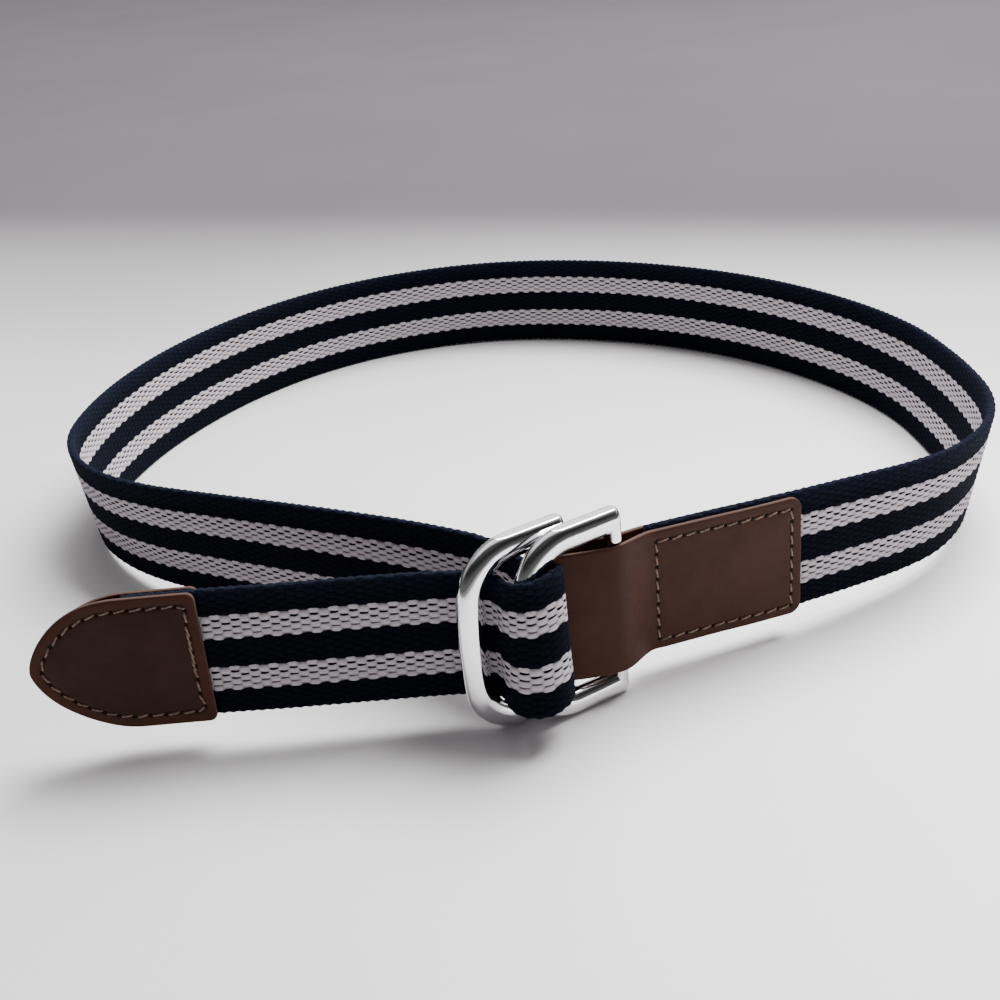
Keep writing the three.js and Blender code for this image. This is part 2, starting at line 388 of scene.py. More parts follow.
def tube_faces(rows, columns):
    """Quads of a closed tube of rows by columns points, facing out where columns climb on the left side."""
    k, c = np.meshgrid(np.arange(rows - 1), np.arange(columns), indexing="ij")
    d = (c + 1) % columns
    here, there = k * columns, (k + 1) * columns
    quads = np.stack([here + c, here + d, there + d, there + c], axis=-1)
    return quads.reshape(-1, 4)


def select_only(piece):
    if bpy.context.object and bpy.context.object.mode != "OBJECT":
        bpy.ops.object.mode_set(mode="OBJECT")
    bpy.ops.object.select_all(action="DESELECT")
    piece.select_set(True)
    bpy.context.view_layer.objects.active = piece


def settle(piece):
    """Puts the piece's place, turn and size into its mesh."""
    select_only(piece)
    bpy.ops.object.transform_apply(location=True, rotation=True, scale=True)


def apply_modifiers(piece):
    select_only(piece)
    for modifier in list(piece.modifiers):
        bpy.ops.object.modifier_apply(modifier=modifier.name)


def face_outwards(piece):
    """Merges points that lie together and turns every face outwards."""
    select_only(piece)
    bpy.ops.object.mode_set(mode="EDIT")
    bpy.ops.mesh.select_all(action="SELECT")
    bpy.ops.mesh.remove_doubles(threshold=1e-6)
    bpy.ops.mesh.dissolve_degenerate(threshold=1e-7)
    bpy.ops.mesh.select_all(action="SELECT")
    bpy.ops.mesh.normals_make_consistent(inside=False)
    bpy.ops.object.mode_set(mode="OBJECT")


# Shader nodes

SMOOTH = {"interpolation_type": "SMOOTHSTEP"}
COLOUR = {"data_type": "RGBA"}
TINT = {"data_type": "RGBA", "blend_type": "MULTIPLY"}


def add_node(tree, kind, *values, out=None, **settings):
    """Adds a node with its settings and links, and gives its first output in use, or the one named by out.

    The values go to the sockets in use in their order, or by name when they come as one dict. A value that is
    another node's output is linked.
    """
    node = tree.nodes.new("ShaderNode" + kind)
    for label, value in settings.items():
        setattr(node, label, value)
    sockets = [socket for socket in node.inputs if socket.enabled]
    if values and isinstance(values[0], dict):
        named = {socket.name: socket for socket in sockets}
        pairs = [(named[label], value) for label, value in values[0].items()]
    else:
        pairs = zip(sockets, values)
    for socket, value in pairs:
        if isinstance(value, bpy.types.NodeSocket):
            tree.links.new(value, socket)
        else:
            socket.default_value = value
    return node.outputs[out] if out else next(socket for socket in node.outputs if socket.enabled)


def new_material(name):
    material = bpy.data.materials.new(name)
    material.use_nodes = True
    tree = material.node_tree
    return material, tree, tree.nodes["Principled BSDF"]


def webbing_material(sizes):
    """Plain woven cotton webbing, dyed yarns, on the strap's own map in millimetres.

    Each warp yarn passes over every other pick, so the face is a brickwork of short floats with dark gaps.
    """
    material, tree, shader = new_material("woven cotton webbing")
    add = partial(add_node, tree)
    place = add("UVMap", uv_map="weave")
    drift = add("TexNoise", place, 0.45, out="Color")
    drift = add("VectorMath", drift, (0.5, 0.5, 0.5), operation="SUBTRACT")
    drift = add("VectorMath", drift, (0.6, 0.3, 0), operation="MULTIPLY")
    place = add("VectorMath", place, drift, operation="ADD")
    shifted = add("VectorMath", place, (0, END / 2, 0), operation="SUBTRACT")
    nearest = []
    for pick, end in ((0, 0), (PICK, END)):
        moved = add("VectorMath", shifted, (pick, end, 0), operation="SUBTRACT")
        nearest.append(add("VectorMath", moved, (PICK, END, 1), (-PICK, -END, -1), operation="WRAP"))
    spans = [add("VectorMath", float_place, operation="LENGTH") for float_place in nearest]
    first = add("Math", spans[0], spans[1], operation="LESS_THAN")
    inside = add("Mix", first, nearest[1], nearest[0], data_type="VECTOR")
    inside_x, inside_y = (add("SeparateXYZ", inside, out=axis) for axis in "XY")
    along = add("Math", inside_x, operation="ABSOLUTE")
    across = add("Math", inside_y, operation="ABSOLUTE")
    whole_x, whole_y = (add("SeparateXYZ", place, out=axis) for axis in "XY")

    # Yarns counted from the strap's middle, and from the middle of the nearer white stripe.
    from_middle = add("Math", add("Math", whole_y, END, operation="DIVIDE"), ENDS / 2, operation="SUBTRACT")
    distance = add("Math", from_middle, operation="ABSOLUTE")
    in_stripe = add("Math", distance, STRIPE_MIDDLE, operation="SUBTRACT")
    wave = add("Math", add("Math", whole_x, math.pi / PICK, operation="MULTIPLY"), operation="COSINE")
    wave = add("Math", wave, add("Math", from_middle, operation="SIGN"), operation="MULTIPLY")
    wave = add("Math", add("Math", wave, -0.4, operation="MULTIPLY"), -0.22, operation="MAXIMUM")
    wave = add("Math", wave, 0.22, operation="MINIMUM")
    stripe_edge = add("Math", add("Math", in_stripe, operation="ABSOLUTE"), wave, operation="SUBTRACT")
    white = add("MapRange", stripe_edge, 3.46, 3.26, **SMOOTH)
    height_in_stripe = add(
        "Math", in_stripe, add("Math", from_middle, operation="SIGN"), operation="MULTIPLY"
    )

    # The dark gap between two floats: partly the dark weft seen there, partly painted shade where the floats
    # shut out the light. It is thinner and weaker towards a stripe's lower side, where the painted shade
    # fades.
    side = add("Math", inside_y, operation="SIGN")
    above = add("Math", inside_y, add("Math", side, END, operation="MULTIPLY"), operation="SUBTRACT")
    sag = add("MapRange", along, 1.1, 0.2, 0.0, 0.1, **SMOOTH)
    above = add("Math", add("Math", above, sag, operation="ADD"), operation="ABSOLUTE")
    half_gap = add("MapRange", height_in_stripe, -3.0, 1.5, 0.16, 0.29, **SMOOTH)
    gap = add("MapRange", add("Math", above, half_gap, operation="SUBTRACT"), 0.07, -0.08, **SMOOTH)
    gap = add("Math", gap, add("MapRange", along, 1.1, 0.86, **SMOOTH), operation="MULTIPLY")
    whole_yarns = add("Math", add("Math", in_stripe, operation="ABSOLUTE"), 2.5, operation="LESS_THAN")
    gap = add("Math", gap, whole_yarns, operation="MULTIPLY")
    weaker = add("MapRange", height_in_stripe, -3.2, 1.0, 0.6, 1.0, **SMOOTH)
    weft_and_shade_gap = add("Math", gap, weaker, operation="MULTIPLY")

    # Rounded top of each float, and the fine fibres along it.
    dome = add("Math", add("Math", across, END * 1.03, operation="DIVIDE"), 2.0, operation="POWER")
    dome = add("Math", add("Math", 1.0, dome, operation="SUBTRACT"), 0.0, operation="MAXIMUM")
    dome = add("Math", dome, operation="SQRT")
    arch = add("Math", add("Math", along, along, operation="MULTIPLY"), 0.3, operation="MULTIPLY")
    form = add("Math", dome, add("Math", 1.0, arch, operation="SUBTRACT"), operation="MULTIPLY")
    twisted = add("Mapping", {"Vector": place, "Rotation": (0, 0, 0.16), "Scale": (0.9, 6.5, 1)})
    fibres = add("TexNoise", twisted, 1.0, 3.0, 0.6)
    lint = add("TexNoise", twisted, 3.1, 2.0, 0.5)
    height = add("Math", form, add("Math", fibres, 0.28, operation="MULTIPLY"), operation="ADD")
    height = add("Math", height, add("Math", lint, 0.12, operation="MULTIPLY"), operation="ADD")

    # Painted shade: each float is darker towards its rim, where its rounded top turns from the light.
    shade = add("MapRange", form, 0.1, 0.9, 0.42, 1.0, **SMOOTH)
    streaks = add("MapRange", fibres, 0.25, 0.75, 0.78, 1.1, **SMOOTH)
    shade = add("Math", shade, streaks, operation="MULTIPLY")
    # Pale yarns, with their gaps' dark weft and painted shade.
    pale = add("Mix", weft_and_shade_gap, sizes.white, sizes.gap, **COLOUR)
    # Lint flecks on the navy, with a painted highlight: they grow stronger towards the strap's top edge,
    # where the light from above falls.
    lint_and_top_light = add("MapRange", whole_y, 28.0, 35.0, 0.3, 1.0, **SMOOTH)
    lint_and_top_light = add("Math", lint_and_top_light, add("MapRange", lint, 0.44, 0.68, **SMOOTH), operation="MULTIPLY")
    dark = add("Mix", lint_and_top_light, sizes.navy, sizes.lint, **COLOUR)
    colour = add("Mix", white, dark, pale, **COLOUR)
    colour = add("Mix", 1.0, colour, shade, **TINT)
    tree.links.new(colour, shader.inputs["Base Color"])
    shader.inputs["Roughness"].default_value = 0.95
    shader.inputs["Specular IOR Level"].default_value = 0.04
    shader.inputs["Sheen Weight"].default_value = 0.03
    shader.inputs["Sheen Roughness"].default_value = 0.4
    shader.inputs["Sheen Tint"].default_value = linear("8090c8")
    bump = add("Bump", {"Height": height, "Strength": 1.0, "Distance": 0.00032})
    tree.links.new(bump, shader.inputs["Normal"])
    return material


def leather_material(sizes):
    """Smooth calf leather, drum dyed and lightly finished: soft gloss, fine grain, cut edges left paler."""
    material, tree, shader = new_material("smooth brown calf leather")
    add = partial(add_node, tree)
    place = add("TexCoord", out="Object")
    cloudy = add("TexNoise", place, 70.0, 3.0, 0.55)
    grain = add("TexVoronoi", {"Vector": place, "Scale": 2100.0, "Randomness": 1.0}, feature="F1")
    pores = add("TexNoise", place, 4200.0, 2.0, 0.6)
    creases = add("TexNoise", place, 420.0, 3.0, 0.6)
    raw = add("Attribute", out="Fac", attribute_name="raw")
    rim = add("Attribute", out="Fac", attribute_name="rim")
    seam = add("UVMap", uv_map="seam")
    seam_x, seam_y = (add("SeparateXYZ", seam, out=axis) for axis in "XY")
    # Needle holes lie at whole stitches along the seam.
    stitch = add("Math", add("Math", seam_x, 0.5, operation="ADD"), operation="FRACT")
    from_hole = add("Math", add("Math", stitch, 0.5, operation="SUBTRACT"), operation="ABSOLUTE")
    from_line = add("Math", seam_y, operation="ABSOLUTE")
    at_hole = add("MapRange", from_hole, 0.2, 0.11, **SMOOTH)
    on_seam = add("MapRange", from_line, 0.6, 0.34, **SMOOTH)
    hole = add("Math", at_hole, on_seam, operation="MULTIPLY")
    groove = add("MapRange", from_line, 0.9, 0.1, **SMOOTH)

    # Painted shade: the tone mark, set on the tip, paints it darker than the tab.
    tone = add("Attribute", out="Fac", attribute_name="tone")
    colour = add("Mix", add("MapRange", cloudy, 0.36, 0.64, **SMOOTH), sizes.deep, sizes.brown, **COLOUR)
    colour = add("Mix", 1.0, colour, add("MapRange", tone, 0.0, 1.0, 1.0, 0.72, **SMOOTH), **TINT)
    colour = add("Mix", add("Math", rim, 0.55, operation="MULTIPLY"), colour, linear("482516"), **COLOUR)
    # Painted shade: the leather is darker along the seam's sunk groove.
    colour = add("Mix", add("Math", groove, 0.35, operation="MULTIPLY"), colour, linear("2b1a14"), **COLOUR)
    fuzzy = add("MapRange", pores, 0.3, 0.7, 0.72, 1.12, **SMOOTH)
    edge = add("Mix", 1.0, sizes.raw, fuzzy, **TINT)
    colour = add("Mix", add("MapRange", raw, 0.35, 0.8, **SMOOTH), colour, edge, **COLOUR)
    # Painted shade: the needle holes are painted dark.
    colour = add("Mix", hole, colour, linear("1a100c"), **COLOUR)
    tree.links.new(colour, shader.inputs["Base Color"])
    rough = add("MapRange", creases, 0.3, 0.7, 0.4, 0.52, **SMOOTH)
    rough = add("Math", rough, add("Math", raw, 0.85, operation="MULTIPLY"), operation="MAXIMUM")
    rough = add("Math", rough, add("Math", hole, 0.9, operation="MULTIPLY"), operation="MAXIMUM")
    tree.links.new(rough, shader.inputs["Roughness"])
    shader.inputs["Specular IOR Level"].default_value = 0.1
    height = add(
        "Math",
        add("Math", grain, 0.5, operation="MULTIPLY"),
        add("Math", pores, 0.35, operation="MULTIPLY"),
        operation="ADD",
    )
    height = add("Math", height, add("Math", creases, 0.8, operation="MULTIPLY"), operation="ADD")
    height = add("Math", height, add("Math", hole, 5.0, operation="MULTIPLY"), operation="SUBTRACT")
    bump = add("Bump", {"Height": height, "Strength": 0.35, "Distance": 0.0001})
    tree.links.new(bump, shader.inputs["Normal"])
    return material


def thread_material(sizes):
    """Waxed polyester sewing thread, two strands laid together: a dull sheen and slightly uneven dye."""
    material, tree, shader = new_material("waxed polyester thread")
    add = partial(add_node, tree)
    place = add("TexCoord", out="Object")
    uneven = add("TexNoise", place, 900.0, 3.0, 0.6)
    fluff = add("TexNoise", place, 6000.0, 2.0, 0.6)
    darker = tuple(c * 0.45 for c in sizes.tan[:3]) + (1.0,)
    colour = add("Mix", add("MapRange", uneven, 0.35, 0.65, **SMOOTH), darker, sizes.tan, **COLOUR)
    tree.links.new(colour, shader.inputs["Base Color"])
    shader.inputs["Roughness"].default_value = 0.6
    shader.inputs["Sheen Weight"].default_value = 0.15
    bump = add("Bump", {"Height": fluff, "Strength": 0.4, "Distance": 6e-05})
    tree.links.new(bump, shader.inputs["Normal"])
    return material


def chrome_material(sizes):
    """Zinc casting, polished and chrome plated: near mirror, with faint swells and hairlines of buffing."""
    material, tree, shader = new_material("polished chrome plate")
    add = partial(add_node, tree)
    place = add("TexCoord", out="Object")
    swells = add("TexNoise", place, 260.0, 2.0, 0.5)
    stretched = add("Mapping", {"Vector": place, "Rotation": (0.3, 0.2, 0.5), "Scale": (1, 1, 9)})
    hairlines = add("TexNoise", stretched, 1400.0, 3.0, 0.6)
    shader.inputs["Base Color"].default_value = sizes.chrome
    shader.inputs["Metallic"].default_value = 1.0
    rough = add("MapRange", hairlines, 0.45, 0.75, 0.04, 0.1, **SMOOTH)
    tree.links.new(rough, shader.inputs["Roughness"])
    height = add("Math", swells, add("Math", hairlines, 0.04, operation="MULTIPLY"), operation="ADD")
    bump = add("Bump", {"Height": height, "Strength": 0.12, "Distance": 0.0004})
    tree.links.new(bump, shader.inputs["Normal"])
    return material


# Webbing


def float_height(run, rise):
    """Height of the woven face at a place, from 0 in a gap to 1 on top of a float."""
    best = np.zeros(np.broadcast(run, rise).shape)
    for pick, end in ((0, 0), (PICK, END)):
        along = (run - pick + PICK) % (2 * PICK) - PICK
        across = (rise - END / 2 - end + END) % (2 * END) - END
        dome = np.sqrt(np.maximum(0, 1 - (across / (END * 1.02)) ** 2))
        best = np.maximum(best, dome * (1 - 0.3 * (along / (PICK / 2)) ** 2))
    return best


def packed(across):
    """Height on the strap of an even yarn count: the yarns are packed closer towards both selvedges."""
    first, last = WHITE_ENDS[0] * END, WHITE_ENDS[3] * END
    drawn = first * PACKING
    return np.interp(across, [0, first, last, STRAP_WIDTH], [0, drawn, STRAP_WIDTH - drawn, STRAP_WIDTH])


def face_rises():
    """Heights of the lines along one face: one a yarn, and in the white stripes also one between yarns."""
    rises = [(i + 0.5) * END for i in range(ENDS)]
    for start, stop in (WHITE_ENDS[:2], WHITE_ENDS[2:]):
        rises += [i * END for i in range(start, stop + 1)]
    return np.array(sorted(rises))


def build_webbing(sizes):
    strap = strap_ribbon()
    half = sizes.thickness / MM / 2
    relief = sizes.relief / MM
    rises = face_rises()
    edge = 0.12
    count = round((strap.length - STRAP_START) / (PICK / 2)) + 1
    run = np.linspace(STRAP_START, strap.length, count)
    phase = np.arange(count) * PICK / 2

    one_face = np.concatenate([[edge], rises, [STRAP_WIDTH - edge]])
    rise = np.concatenate([[0.0], one_face, [STRAP_WIDTH], one_face[::-1]])
    side = np.concatenate([[0.0], np.ones(len(one_face)), [0.0], -np.ones(len(one_face))])
    to_edge = np.minimum(rise, STRAP_WIDTH - rise)
    crown = (1 - (np.maximum(0, SELVEDGE - to_edge) / SELVEDGE) ** CROWN) ** (1 / CROWN)

    shifted = phase[:, None] + np.where(side < 0, PICK, 0.0)[None, :]
    height = float_height(shifted, rise[None, :])
    out = side * (half * crown - relief * (1 - height) * crown)
    scallop = SCALLOP * (1 - np.abs(np.cos(math.pi * phase / PICK)))[:, None] * np.exp(-to_edge / 0.8)
    rises_at = packed(rise) + np.where(rise < STRAP_WIDTH / 2, 1, -1) * scallop
    points = strap.place(np.broadcast_to(run[:, None], out.shape), rises_at, out)

    columns = len(rise)
    quads = tube_faces(count, columns)
    column = quads % columns
    row = quads // columns
    on_right = column[:, :1] >= len(one_face) + 1
    along = row * PICK / 2 + np.where(on_right, PICK, 0.0)
    across = rise[column]
    corners = [np.stack([along, across], axis=-1).reshape(-1, 2)]
    faces = [tuple(q) for q in quads]
    for start, order in ((0, -1), ((count - 1) * columns, 1)):
        cap = (start + np.arange(columns))[::order]
        faces.append(tuple(cap))
        corners.append(np.stack([0 * cap, rise[cap - start]], axis=-1))
    webbing = make_mesh(
        "webbing_strap",
        points.reshape(-1, 3),
        faces,
        webbing_material(sizes),
        maps={"weave": np.vstack(corners)},
    )
    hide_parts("webbing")
    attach(webbing, "root")


# Leather


def along_line(line, corners_at, places):
    """Where places lie beside a closed seam line: stitches along it and millimetres from it."""
    best = np.full(len(places), 1e9)
    stitches = np.zeros(len(places))
    for a, b, first, last in zip(line, np.roll(line, -1, axis=0), corners_at, corners_at[1:]):
        step = b - a
        share = np.clip(((places - a) @ step) / (step @ step), 0, 1)
        gap = np.linalg.norm(places - a - share[:, None] * step, axis=1)
        nearer = gap < best
        best = np.where(nearer, gap, best)
        stitches = np.where(nearer, first + share * (last - first), stitches)
    return stitches, best


def tab_seams(tab, pitch):
    """Both stitched boxes of the tab, front ply and back, each a closed line with its stitch counts."""
    boxes = []
    low, high = TAB_SEAM_RISES
    for near, far in (TAB_SEAM_RUNS, [tab.length - run for run in TAB_SEAM_RUNS]):
        line = np.array([(near, low), (near, high), (far, high), (far, low)], float)
        sides = np.linalg.norm(np.roll(line, -1, axis=0) - line, axis=1)
        counts = np.concatenate([[0], np.cumsum(np.round(sides / pitch))])
        boxes.append((line, counts))
    return boxes


def seam_map(seams, places):
    """Stitches along and millimetres from the nearest seam, for each place."""
    found = [along_line(line, counts, places) for line, counts in seams]
    gaps = np.stack([gap for _, gap in found])
    pick = gaps.argmin(axis=0)
    along = np.stack([a for a, _ in found])[pick, np.arange(len(places))]
    return along, gaps.min(axis=0)


def pucker(along, gap):
    """How far the leather is drawn in along a seam, and more at its holes."""
    at_hole = np.exp(-(((along + 0.5) % 1 - 0.5) / 0.14) ** 2)
    return -SEAM_DEPTH * np.exp(-((gap / 0.75) ** 2)) - HOLE_DEPTH * at_hole * np.exp(-((gap / 0.5) ** 2))


def uneven(run, rise, seed):
    """Slow swells of a hide, up to about a tenth of a millimetre."""
    rng = np.random.default_rng(seed)
    total = np.zeros(np.broadcast(run, rise).shape)
    for _ in range(7):
        a, b = rng.uniform(-0.45, 0.45, 2)
        total += np.sin(a * run + b * rise + rng.uniform(0, 6.3))
    return total * SWELL_DEPTH


def corner_cut(distance, radius):
    into = np.maximum(0, radius - distance)
    return radius - np.sqrt(radius * radius - into * into)


def seam_corners(faces, along, gap, turns):
    """The seam map per face corner, with a closed seam's count carried on past its start."""
    corners = []
    for face in faces:
        here = along[list(face)]
        wide = here.max() - here.min() > turns / 2
        carried = np.where(wide & (here < turns / 2), here + turns, here)
        corners.append(np.stack([carried, gap[list(face)]], axis=-1))
    return np.vstack(corners)


def build_tab(sizes, seams_sizes):
    strap = strap_ribbon()
    tab = tab_ribbon(strap)
    half = sizes.thickness / MM / 2
    edge = sizes.edge / MM
    seams = tab_seams(tab, seams_sizes.pitch / MM)
    at_edge = edge * (1 - np.cos(np.radians([0, 45, 90])))
    at_corner = TAB_CORNER * (1 - np.cos(np.radians(range(30, 91, 6))))
    start = np.unique(np.concatenate([at_edge, at_corner]))
    steps = round((tab.length - 2 * TAB_CORNER) / TAB_STEP)
    inner = np.linspace(TAB_CORNER, tab.length - TAB_CORNER, steps + 1)
    run = np.concatenate([start[:-1], inner, (tab.length - start[:-1])[::-1]])
    to_end = np.minimum(run, tab.length - run)
    margin = (STRAP_WIDTH - TAB_WIDTH) / 2
    cut = corner_cut(to_end, TAB_CORNER)
    low, high = margin + cut, STRAP_WIDTH - margin - cut
    into = np.clip(to_end / edge, 0, 1)
    thick = half - edge + edge * np.sqrt(1 - (1 - into) ** 2)

    face = np.linspace(0, 1, TAB_LINES)
    rises, outs, raws = [], [], []
    for share in face:
        rises.append(low + edge + (high - low - 2 * edge) * share)
        outs.append(thick)
        raws.append(np.clip((0.3 - to_end) / 0.3, 0, 1))
    for turn in np.radians([45, 90]):
        rises.append(high - edge + edge * np.sin(turn))
        outs.append(thick - edge * (1 - np.cos(turn)))
        raws.append(np.ones(len(run)))
    section = [*zip(rises, outs, raws)]
    mirrored = [(low + high - r, -o, w) for r, o, w in section]
    back_face = [(low + edge + (high - low - 2 * edge) * share, -thick, 0 * run) for share in face[::-1]]
    top_edge = [(r, -o, w) for r, o, w in section[-1:-3:-1]]
    low_edge = [*mirrored[-2:], *[(r, -o, w) for r, o, w in mirrored[-1:-3:-1]]]
    section = [*section, *top_edge, *back_face, *low_edge]
    rise, out, raw = (np.stack(values, axis=1) for values in zip(*section))
    runs = np.broadcast_to(run[:, None], rise.shape)

    places = np.stack([runs.ravel(), rise.ravel()], axis=-1)
    along, gap = seam_map(seams, places)
    along, gap = along.reshape(rise.shape), gap.reshape(rise.shape)
    grain_side = out > 0
    sunk = pucker(along, gap) + uneven(runs, rise, 5)
    out = out + np.where(grain_side, sunk, 0.0)
    points = tab.place(runs, rise, out)

    columns = rise.shape[1]
    faces = [tuple(q) for q in tube_faces(len(run), columns)]
    count = len(face)
    for first, flip in ((0, False), ((len(run) - 1) * columns, True)):
        for i in range(count - 1):
            back = count + 4 + (count - 1 - i)
            quad = (first + i, first + back, first + back - 1, first + i + 1)
            faces.append(quad[::-1] if flip else quad)
        top = [first + count - 1 + k for k in range(6)]
        bottom = [first + 2 * count + 3 + k for k in range(5)] + [first]
        for strip in (top, bottom):
            faces.append(tuple(strip[::-1] if flip else strip))
    lap = sum(counts[-1] for _, counts in seams) / 2
    corners = seam_corners(faces, along.ravel(), gap.ravel(), lap)
    piece = make_mesh(
        "tab_calf",
        points.reshape(-1, 3),
        faces,
        leather_material(sizes),
        maps={"seam": corners},
        marks={"raw": raw.ravel()},
    )
    lines = [(tab, line, counts, half, 1) for line, counts in seams]
    threads = stitch_seams("tab_stitches", seams_sizes, lines)
    finish_leather(piece, threads, "tab_leather")


def finish_leather(piece, threads, node):
    """Hides the model's part that the leather stands for, and hangs the sheet and its threads on the root
    body, where they keep their places.
    """
    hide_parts(node)
    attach(piece, "root")
    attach(threads, "root")


def model_stitch(sizes):
    """One stitch along X, a millimetre to the unit: two strands' section, extruded in turned steps."""
    radius = sizes.thread / MM / 2
    steps = 10
    bpy.ops.object.select_all(action="DESELECT")
    bpy.ops.mesh.primitive_circle_add(vertices=8, radius=radius, fill_type="NGON", location=(-0.5, 0, -0.6))
    stitch = bpy.context.active_object
    stitch.scale = (0.72, 1.0, 1.0)
    stitch.rotation_euler = (0, math.radians(90), 0)
    settle(stitch)
    bpy.ops.object.mode_set(mode="EDIT")
    bpy.ops.mesh.select_all(action="SELECT")
    here = Vector((-0.5, 0, -0.6))
    for k in range(1, steps + 1):
        share = k / steps
        there = Vector((share - 0.5, 0, 0.62 * (1 - (2 * share - 1) ** 6) - 0.6))
        bpy.ops.mesh.extrude_region_move(TRANSFORM_OT_translate={"value": there - here})
        bpy.ops.transform.rotate(value=math.radians(46), orient_axis="X", center_override=there)
        here = there
    bpy.ops.mesh.select_all(action="SELECT")
    bpy.ops.mesh.normals_make_consistent(inside=False)
    bpy.ops.object.mode_set(mode="OBJECT")
    bpy.ops.object.shade_smooth()
    return stitch


def on_line(line, counts, stitch):
    """The place of a stitch's hole on a closed seam line."""
    stitch = stitch % counts[-1]
    k = int(np.searchsorted(counts, stitch, side="right") - 1)
    share = (stitch - counts[k]) / (counts[k + 1] - counts[k])
    return line[k] + (line[(k + 1) % len(line)] - line[k]) * share


def stitch_seams(name, sizes, seams, doubled=()):
    """Lays one copy of the stitch from hole to hole along each seam, and joins them."""
    model = model_stitch(sizes)
    rng = np.random.default_rng(sizes.seed)
    copies = []
    for ribbon, line, counts, out, grain in seams:
        wanted = [(k, 0.0) for k in range(int(counts[-1]))]
        wanted += [(k + 0.45, 0.33) for k in doubled]
        for k, lift in wanted:
            ends = [on_line(line, counts, k + 0.07), on_line(line, counts, k + 0.93)]
            a, b = (Vector(ribbon.place(run, rise, grain * (out + lift))) for run, rise in ends)
            middle_run = (ends[0][0] + ends[1][0]) / 2
            outward = Vector(ribbon.left(np.array(middle_run))) * grain
            forward = (b - a).normalized()
            outward = (outward - forward * outward.dot(forward)).normalized()
            across = outward.cross(forward)
            lean = Matrix.Rotation(math.radians(rng.uniform(7, 15)), 3, outward)
            forward, across = lean @ forward, lean @ across
            length = (b - a).length * rng.uniform(0.94, 1.0)
            middle = (a + b) / 2 + outward * MM * rng.uniform(-0.03, 0.03)
            turn = Matrix((forward * length, across * MM, outward * MM)).transposed().to_4x4()
            copy = model.copy()
            copy.data = model.data.copy()
            copy.data.transform(Matrix.Translation(middle) @ turn)
            bpy.context.scene.collection.objects.link(copy)
            copies.append(copy)
    bpy.data.objects.remove(model)
    select_only(copies[0])
    for copy in copies:
        copy.select_set(True)
    bpy.ops.object.join()
    threads = bpy.context.active_object
    threads.name = name
    threads.data.name = name
    threads.data.materials.append(bpy.data.materials.get("waxed polyester thread") or thread_material(sizes))
    return threads


def tip_outline():
    """The tip's outline from its straight end round the point, run from that end and rise from the middle."""
    share = np.sin(np.linspace(0, math.pi / 2, 60)) ** 2
    from_point = np.concatenate([TIP_SHOULDER * share, np.linspace(TIP_SHOULDER, TIP_LENGTH, 12)[1:]])
    half = TIP_WIDTH / 2 * (1 - (1 - np.minimum(1, from_point / TIP_SHOULDER)) ** 2.1) ** 0.64
    upper = np.stack([TIP_LENGTH - from_point, half], axis=-1)
    bend = np.radians(np.arange(10, 90, 10))
    side = TIP_WIDTH / 2 - TIP_CORNER * (1 - np.cos(bend))
    corner = np.stack([TIP_CORNER * (1 - np.sin(bend)), side], axis=-1)
    upper = np.vstack([upper[upper[:, 0] > TIP_CORNER], corner, [(0.0, TIP_WIDTH / 2 - TIP_CORNER)]])
    line = np.vstack([upper, (upper * (1, -1))[:0:-1]])
    closed = np.vstack([line, line[:1]])
    runs = np.concatenate([[0.0], np.cumsum(np.linalg.norm(np.diff(closed, axis=0), axis=1))])
    even = np.linspace(0, runs[-1], 241)[:-1]
    return np.stack([np.interp(even, runs, closed[:, k]) for k in range(2)], axis=-1)


def inset_line(outline, inset):
    """The outline drawn in by a distance, towards a short line in the tip's middle."""
    ahead = np.roll(outline, -2, axis=0) - np.roll(outline, 2, axis=0)
    inward = np.stack([-ahead[:, 1], ahead[:, 0]], axis=-1)
    inward /= np.linalg.norm(inward, axis=1, keepdims=True)
    target = np.stack([np.clip(outline[:, 0], *TIP_MIDDLE), 0 * outline[:, 1]], axis=-1)
    if ((target - outline) * inward).sum(axis=1).mean() < 0:
        inward = -inward
    way = target - outline
    reach = np.linalg.norm(way, axis=1, keepdims=True)
    facing = np.maximum(0.72, ((way / reach) * inward).sum(axis=1, keepdims=True))
    return outline + way / reach * np.minimum(inset / facing, reach)


